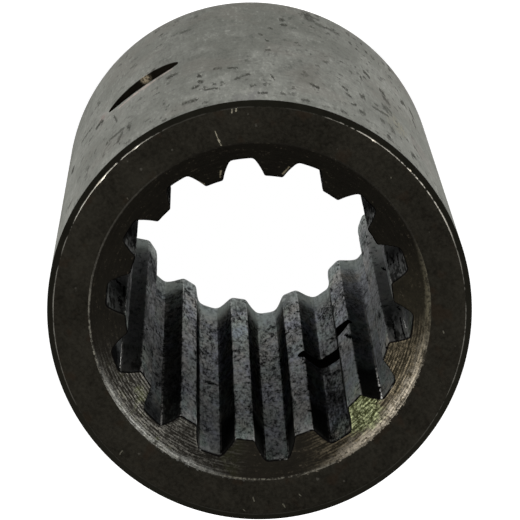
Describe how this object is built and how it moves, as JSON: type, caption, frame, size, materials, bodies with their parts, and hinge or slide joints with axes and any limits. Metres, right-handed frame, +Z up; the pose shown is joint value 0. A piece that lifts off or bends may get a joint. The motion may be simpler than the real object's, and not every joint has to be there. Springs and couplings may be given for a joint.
{
  "type": "shaft coupling",
  "caption": "Turned steel coupling sleeve with an internal involute spline right through, countersunk mouths and a stepped cross hole at mid-length.",
  "frame": {"origin": "middle of the lower end face, on the sleeve's axis", "axes": "+Z up the sleeve's axis, +X out of the wider mouth of the cross hole"},
  "size_m": [0.044, 0.044, 0.098],
  "materials": {
    "steel": "worn satin, darkened end faces"
  },
  "bodies": {
    "root": {"coupling_sleeve": "steel"}
  },
  "joints": []
}
